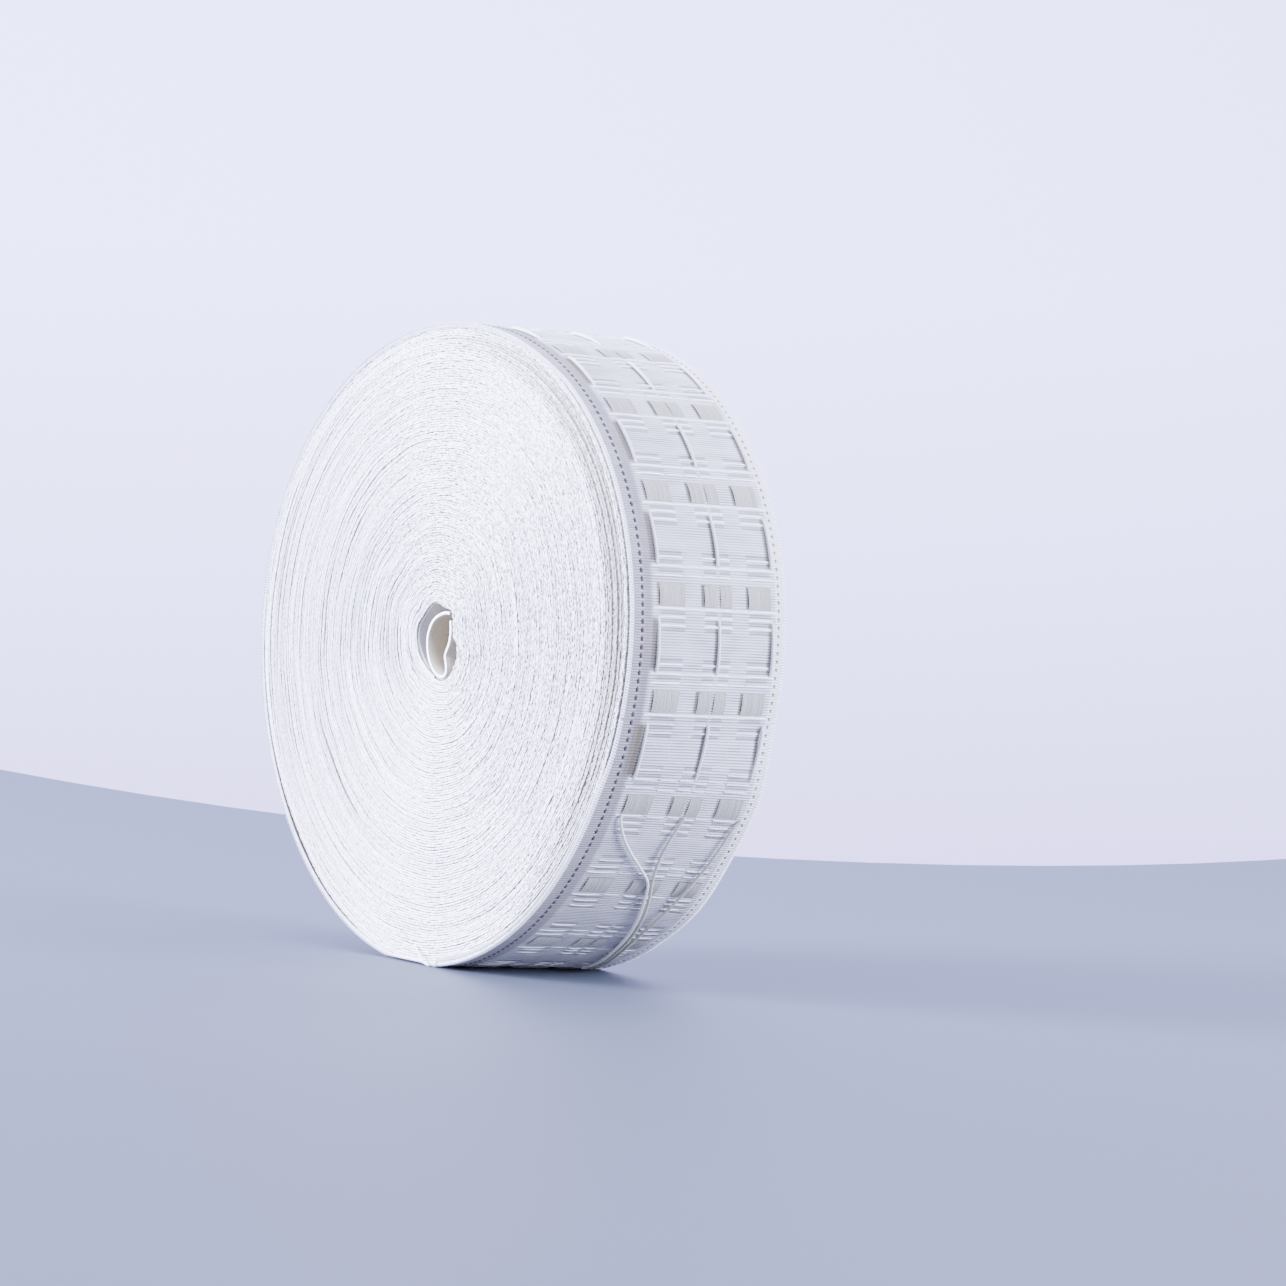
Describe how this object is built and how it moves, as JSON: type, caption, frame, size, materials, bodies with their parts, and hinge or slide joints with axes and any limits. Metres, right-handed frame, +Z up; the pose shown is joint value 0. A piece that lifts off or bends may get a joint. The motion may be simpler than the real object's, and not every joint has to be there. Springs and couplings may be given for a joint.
{
  "type": "roll of curtain heading tape",
  "caption": "Tight coreless roll of white woven pencil-pleat curtain heading tape standing on its rim, with raised cord pockets and three draw cords hanging free from its loose outer end.",
  "frame": {"origin": "middle of the roll's width, on the surface that it stands on, under the middle of the roll", "axes": "+Z up, Y along the roll's axis with the face that shows the folded inner end at -Y, and the loose outer end coming down on the +X side"},
  "size_m": [0.2536, 0.075, 0.2526],
  "materials": {
    "woven_tape": "matt white woven tape with fine cross ribs and a grey-beige tint in its pockets",
    "draw_cord": "soft off-white twisted cord"
  },
  "bodies": {
    "root": {"tape_roll": "woven_tape", "tape_end": "woven_tape", "tape_start": "woven_tape", "draw_cord_near": "draw_cord", "draw_cord_middle": "draw_cord", "draw_cord_far": "draw_cord"}
  },
  "joints": []
}
